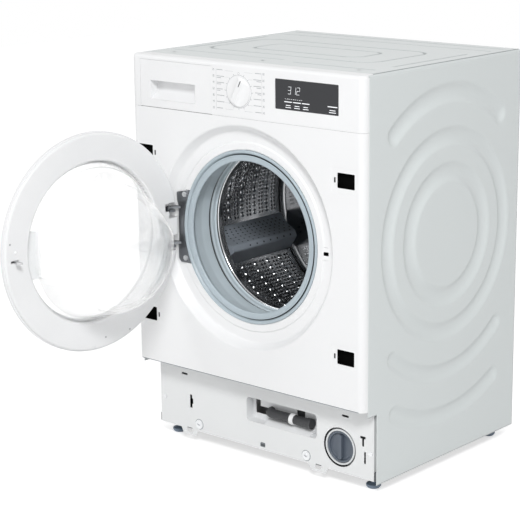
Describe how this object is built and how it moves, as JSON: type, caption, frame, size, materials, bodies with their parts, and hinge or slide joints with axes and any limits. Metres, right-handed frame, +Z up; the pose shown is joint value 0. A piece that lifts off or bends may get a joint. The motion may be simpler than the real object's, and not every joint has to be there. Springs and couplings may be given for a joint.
{
  "type": "integrated washing machine",
  "caption": "Built-in front-loading washing machine with an open round glass door, a detergent drawer, a programme knob, a display and a set-back plinth with a drain hose pocket.",
  "frame": {"origin": "on the floor, under the middle of the cabinet's width and of the depth of its side panels", "axes": "+Z up; -Y is the way the front with the door and the drawer faces; +X to the right of someone who faces the front"},
  "size_m": [0.596, 0.9554, 0.818],
  "materials": {
    "white_steel": "light grey stove enamel",
    "front_enamel": "white stove enamel, semi-gloss",
    "plinth_enamel": "white stove enamel, satin",
    "white_plastic": "moulded, satin gloss",
    "pale_plastic": "moulded, matt",
    "blue_plastic": "moulded, matt",
    "display": "smoked, glossy",
    "module": "moulded, matt",
    "galvanised": "zinc coated",
    "screw_steel": "bright zinc",
    "hinge_metal": "dark grey, satin",
    "pin_steel": "bright",
    "black_plastic": "moulded, matt",
    "glass": "clear, smooth",
    "grip": "satin grey",
    "gasket_rubber": "light blue-grey, matt",
    "tub_plastic": "filled polypropylene, matt",
    "bearing_steel": "ground",
    "stainless": "bright rolled",
    "lifter": "moulded, slate grey",
    "alloy": "as cast",
    "belt": "matt",
    "concrete": "cast, rough",
    "spring_steel": "drawn",
    "hose_rubber": "matt",
    "cap": "moulded, slate grey",
    "inlet": "moulded",
    "foot": "moulded, grey-blue"
  },
  "bodies": {
    "cabinet": {"right_side_panel": "white_steel", "left_side_panel": "white_steel", "top_panel": "white_steel", "rear_panel": "white_steel", "rear_cover": "white_steel", "front_panel": "front_enamel", "plinth_panel": "plinth_enamel", "fascia": "white_plastic", "dispenser_housing": "pale_plastic", "hose_recess": "pale_plastic", "hose_clip": "pale_plastic", "display_window": "display", "control_module": "module", "front_crossbar": "galvanised", "base_frame": "galvanised", "panel_screws": "screw_steel", "foot_lock_nuts": "screw_steel", "hinge_bracket": "hinge_metal", "hinge_pin": "pin_steel", "door_lock": "black_plastic", "pump_housing": "black_plastic", "rear_plugs": "black_plastic", "gasket": "gasket_rubber", "tub_hoses": "gasket_rubber", "tub_front": "tub_plastic", "tub_rear": "tub_plastic", "drum_bearings": "bearing_steel", "heater": "bearing_steel", "motor": "alloy", "drive_belt": "belt", "ballast_blocks": "concrete", "suspension_springs": "spring_steel", "dampers": "spring_steel", "emergency_hose": "hose_rubber", "hose_plug": "hose_rubber", "inlet_valve": "inlet", "drain_outlet": "inlet"},
    "door": {"door_outer_ring": "white_plastic", "door_inner_ring": "white_plastic", "door_glass": "glass", "door_handle": "grip", "door_hinge_arms": "hinge_metal"},
    "catch": {"door_hook": "pin_steel"},
    "drawer": {"drawer_front": "white_plastic", "drawer_tray": "pale_plastic", "drawer_siphon": "blue_plastic"},
    "knob": {"programme_knob": "white_plastic"},
    "filter": {"filter_cap": "cap", "pump_filter": "black_plastic"},
    "basket": {"drum": "stainless", "drum_lifters": "lifter", "drum_spider": "alloy", "drum_shaft": "bearing_steel", "drum_pulley": "alloy", "pulley_bolt": "screw_steel"},
    "rotor": {"motor_pulley": "bearing_steel"},
    "foot_fl": {"foot_front_left": "foot"},
    "foot_fr": {"foot_front_right": "foot"},
    "foot_rl": {"foot_rear_left": "foot"},
    "foot_rr": {"foot_rear_right": "foot"}
  },
  "joints": [
    {"name": "door_hinge", "type": "hinge", "parent": "cabinet", "child": "door", "pos_m": [-0.2, -0.2575, 0.474], "axis": [0, 0, -1], "range_deg": [-95, 20]},
    {"name": "catch_pivot", "type": "hinge", "parent": "door", "child": "catch", "pos_m": [-0.23126, -0.64927, 0.469], "axis": [0, 0, 1], "range_deg": [0, 8], "stiffness_Nm_per_rad": 0.3},
    {"name": "drawer_slide", "type": "slide", "parent": "cabinet", "child": "drawer", "axis": [0, -1, 0], "range_m": [0, 0.19]},
    {"name": "knob_turn", "type": "hinge", "parent": "cabinet", "child": "knob", "pos_m": [-0.0055, -0.2575, 0.764], "axis": [0, 1, 0], "continuous": true},
    {"name": "filter_turn", "type": "hinge", "parent": "cabinet", "child": "filter", "pos_m": [0.206, -0.2095, 0.079], "axis": [0, 1, 0], "range_deg": [0, 180]},
    {"name": "drum_spin", "type": "hinge", "parent": "cabinet", "child": "basket", "pos_m": [0, 0, 0.474], "axis": [0, 1, 0], "continuous": true},
    {"name": "motor_spin", "type": "hinge", "parent": "cabinet", "child": "rotor", "pos_m": [0.04, 0.226, 0.132], "axis": [0, 1, 0], "continuous": true},
    {"name": "foot_fl_screw", "type": "slide", "parent": "cabinet", "child": "foot_fl", "axis": [0, 0, 1], "range_m": [-0.02, 0]},
    {"name": "foot_fr_screw", "type": "slide", "parent": "cabinet", "child": "foot_fr", "axis": [0, 0, 1], "range_m": [-0.02, 0]},
    {"name": "foot_rl_screw", "type": "slide", "parent": "cabinet", "child": "foot_rl", "axis": [0, 0, 1], "range_m": [-0.02, 0]},
    {"name": "foot_rr_screw", "type": "slide", "parent": "cabinet", "child": "foot_rr", "axis": [0, 0, 1], "range_m": [-0.02, 0]}
  ],
  "couplings": [
    {"joint": "motor_spin", "follows": "drum_spin", "ratio": 12.174}
  ]
}
